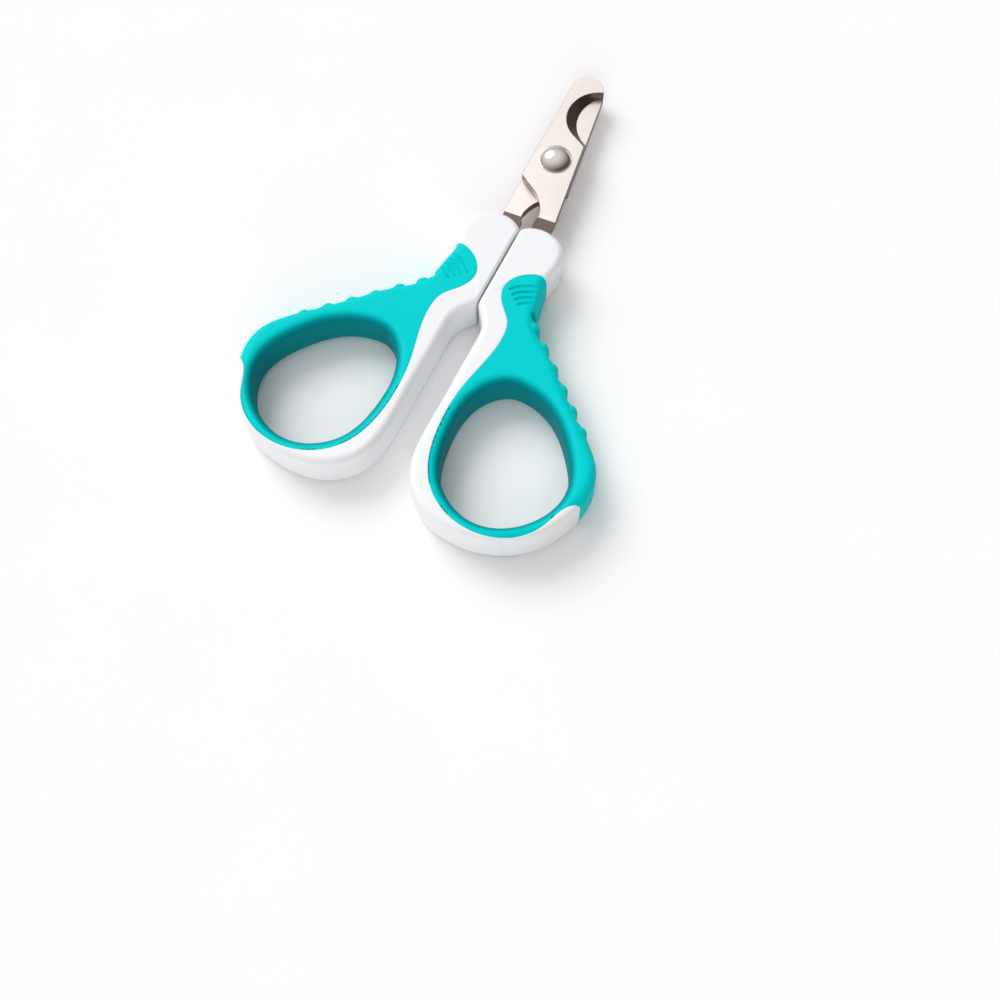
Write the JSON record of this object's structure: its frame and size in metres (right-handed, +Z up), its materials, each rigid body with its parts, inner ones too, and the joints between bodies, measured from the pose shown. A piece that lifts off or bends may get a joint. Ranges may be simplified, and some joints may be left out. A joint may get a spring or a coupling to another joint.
{
  "type": "scissor nail clipper",
  "caption": "Small pet nail scissors: notched steel blades on a domed rivet, hard plastic finger-hole handles with a soft ribbed grip moulded over them.",
  "frame": {"origin": "under the middle of the closed clipper's box, on the plane it lies on", "axes": "+Y from the handles to the blade tips, +Z up out of the front face, +X to the right handle"},
  "size_m": [0.065, 0.0948, 0.008],
  "materials": {
    "blade_steel": "fine ground stainless, lightly polished",
    "rivet_steel": "mirror polished",
    "hard_handle": "smooth white moulded plastic, semi-gloss",
    "soft_grip": "matte teal soft-touch thermoplastic rubber"
  },
  "bodies": {
    "left_half": {"rear_blade": "blade_steel", "pivot_rivet": "rivet_steel", "left_handle": "hard_handle", "left_grip": "soft_grip"},
    "right_half": {"front_blade": "blade_steel", "right_handle": "hard_handle", "right_grip": "soft_grip"}
  },
  "joints": [
    {"name": "blade_pivot", "type": "hinge", "parent": "left_half", "child": "right_half", "pos_m": [-0.00135, 0.02742, 0.004], "axis": [0, 0, 1], "range_deg": [0, 50]}
  ]
}
